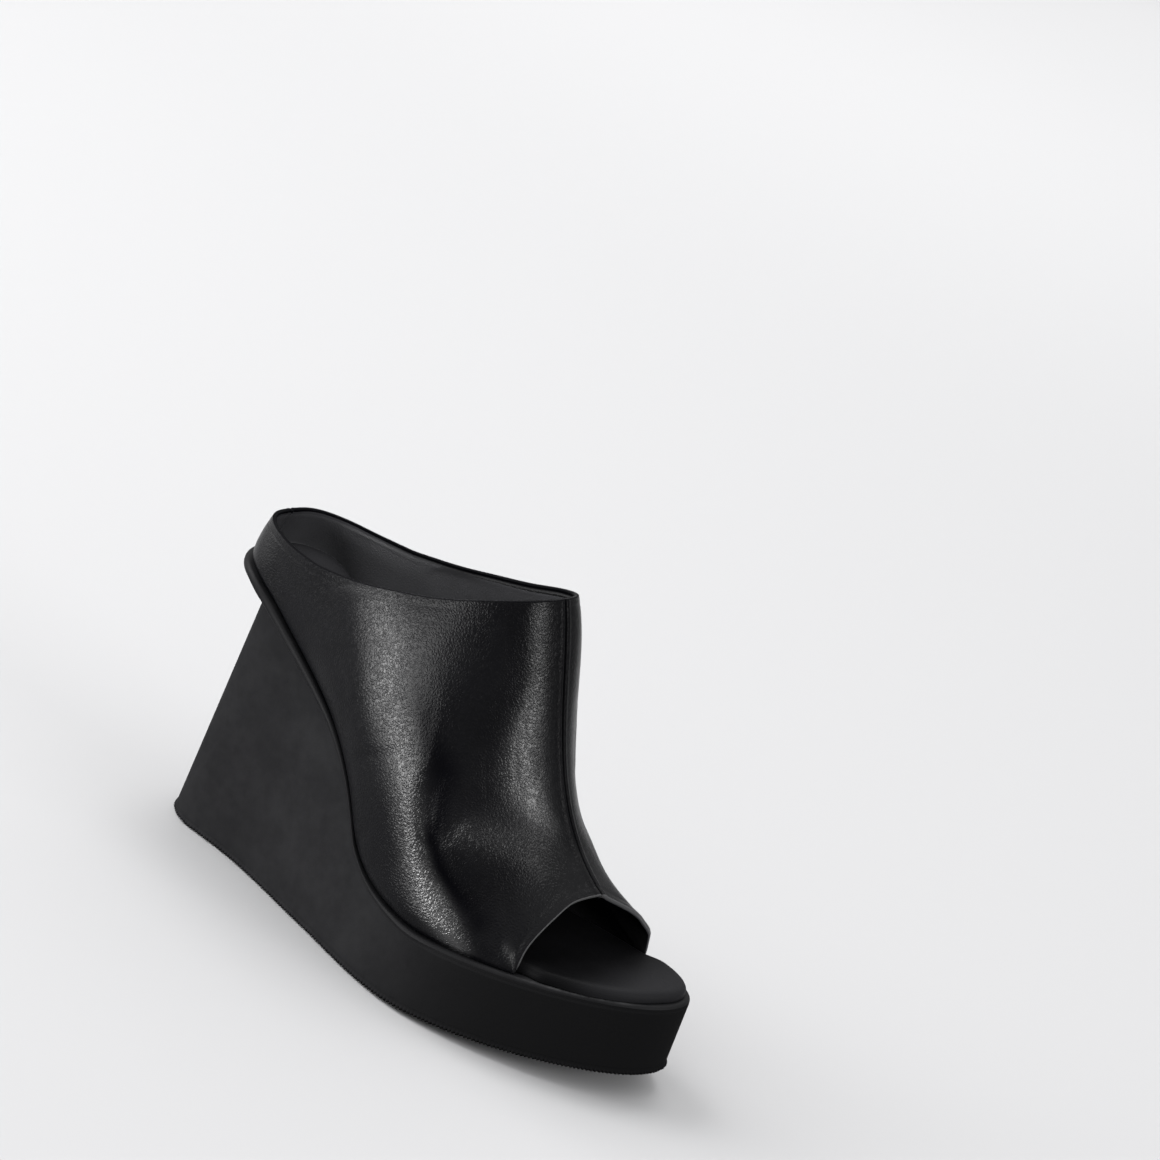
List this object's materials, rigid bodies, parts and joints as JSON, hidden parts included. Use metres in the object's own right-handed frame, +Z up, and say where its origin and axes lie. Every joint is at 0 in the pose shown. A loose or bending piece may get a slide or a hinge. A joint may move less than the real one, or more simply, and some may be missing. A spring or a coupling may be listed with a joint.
{
  "type": "wedge mule",
  "caption": "Right peep-toe wedge mule with a high closed vamp, low heel cup, padded insole and a platform wedge in one body.",
  "frame": {"origin": "on the floor, at the middle of the shoe's bounding box", "axes": "+X to the toe, +Z up, -Y to the outer side of the right foot"},
  "size_m": [0.2408, 0.0868, 0.1643],
  "materials": {
    "upper_leather": "soft gloss",
    "insole_leather": "satin",
    "board_cover": "satin",
    "wedge_cover": "matt",
    "outsole_rubber": "matt"
  },
  "bodies": {
    "root": {"upper": "upper_leather", "insole": "insole_leather", "rim": "board_cover", "wedge": "wedge_cover", "outsole": "outsole_rubber"}
  },
  "joints": []
}
